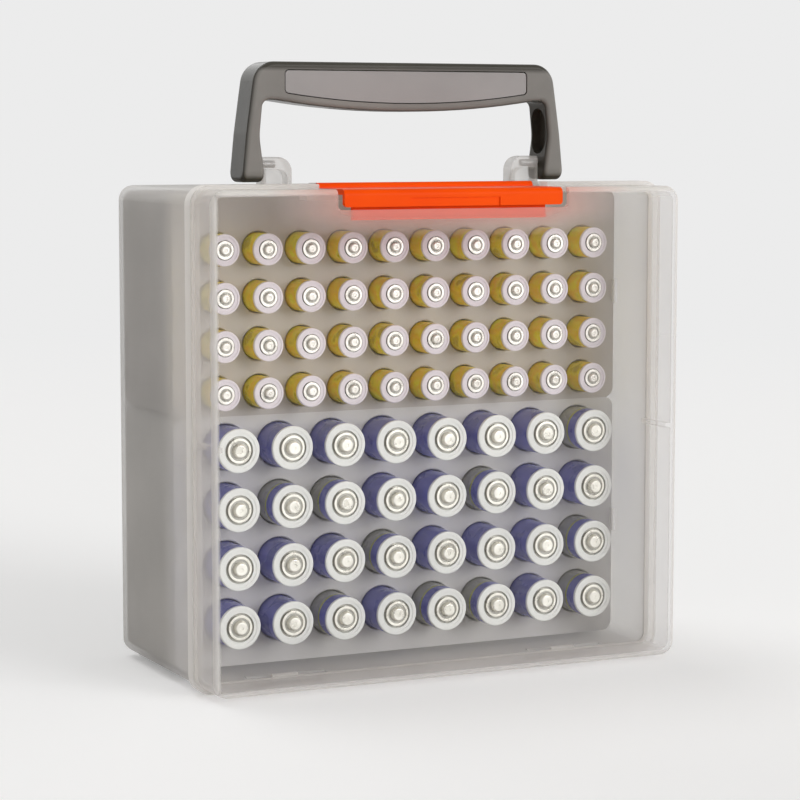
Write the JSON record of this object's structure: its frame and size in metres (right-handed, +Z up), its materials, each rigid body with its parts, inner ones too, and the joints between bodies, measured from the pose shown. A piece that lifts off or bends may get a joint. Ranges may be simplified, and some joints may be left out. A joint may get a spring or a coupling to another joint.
{
  "type": "battery storage case",
  "caption": "Upright translucent battery storage case with a bottom-hinged clear lid, snap latch, folding carrying handle and two socket trays filled with cells.",
  "frame": {"origin": "middle of the base, on the surface the case stands on", "axes": "+X to the right seen from the front, -Y towards the lid, +Z up"},
  "size_m": [0.1722, 0.0884, 0.203],
  "materials": {
    "shell_plastic": "frosted",
    "lid_plastic": "frosted",
    "latch_plastic": "satin",
    "pin_steel": "satin",
    "handle_plastic": "satin",
    "panel_plastic": "satin",
    "tray_plastic": "satin",
    "cell_metal": "satin",
    "aaa_sleeve_film": "gloss",
    "aa_sleeve_film": "gloss",
    "ring_plastic": "satin"
  },
  "bodies": {
    "case": {"body_shell": "shell_plastic", "latch_pin": "pin_steel", "lid_hinge_pin_left": "pin_steel", "lid_hinge_pin_right": "pin_steel", "aaa_tray": "tray_plastic", "aa_tray": "tray_plastic", "aaa_tray_tubes": "tray_plastic", "aa_tray_tubes": "tray_plastic", "aaa_cans_row_1": "cell_metal", "aaa_cans_row_2": "cell_metal", "aaa_cans_row_3": "cell_metal", "aaa_cans_row_4": "cell_metal", "aa_cans_row_1": "cell_metal", "aa_cans_row_2": "cell_metal", "aa_cans_row_3": "cell_metal", "aa_cans_row_4": "cell_metal", "aaa_sleeves_row_1": "aaa_sleeve_film", "aaa_sleeves_row_2": "aaa_sleeve_film", "aaa_sleeves_row_3": "aaa_sleeve_film", "aaa_sleeves_row_4": "aaa_sleeve_film", "aa_sleeves_row_1": "aa_sleeve_film", "aa_sleeves_row_2": "aa_sleeve_film", "aa_sleeves_row_3": "aa_sleeve_film", "aa_sleeves_row_4": "aa_sleeve_film", "aaa_rings_row_1": "ring_plastic", "aaa_rings_row_2": "ring_plastic", "aaa_rings_row_3": "ring_plastic", "aaa_rings_row_4": "ring_plastic", "aa_rings_row_1": "ring_plastic", "aa_rings_row_2": "ring_plastic", "aa_rings_row_3": "ring_plastic", "aa_rings_row_4": "ring_plastic"},
    "lid": {"lid": "lid_plastic"},
    "latch": {"latch": "latch_plastic"},
    "handle": {"handle_frame": "handle_plastic", "grip_panel_front": "panel_plastic", "grip_panel_rear": "panel_plastic", "handle_pin_left": "pin_steel", "handle_pin_right": "pin_steel"}
  },
  "joints": [
    {"name": "lid_hinge", "type": "hinge", "parent": "case", "child": "lid", "pos_m": [0, -0.02285, 0.0019], "axis": [1, 0, 0], "range_deg": [0, 100]},
    {"name": "latch_hinge", "type": "hinge", "parent": "case", "child": "latch", "pos_m": [0, -0.0215, 0.162], "axis": [-1, 0, 0], "range_deg": [0, 110]},
    {"name": "handle_fold", "type": "hinge", "parent": "case", "child": "handle", "pos_m": [0, -0.0022, 0.16955], "axis": [-1, 0, 0], "range_deg": [0, 90]}
  ]
}
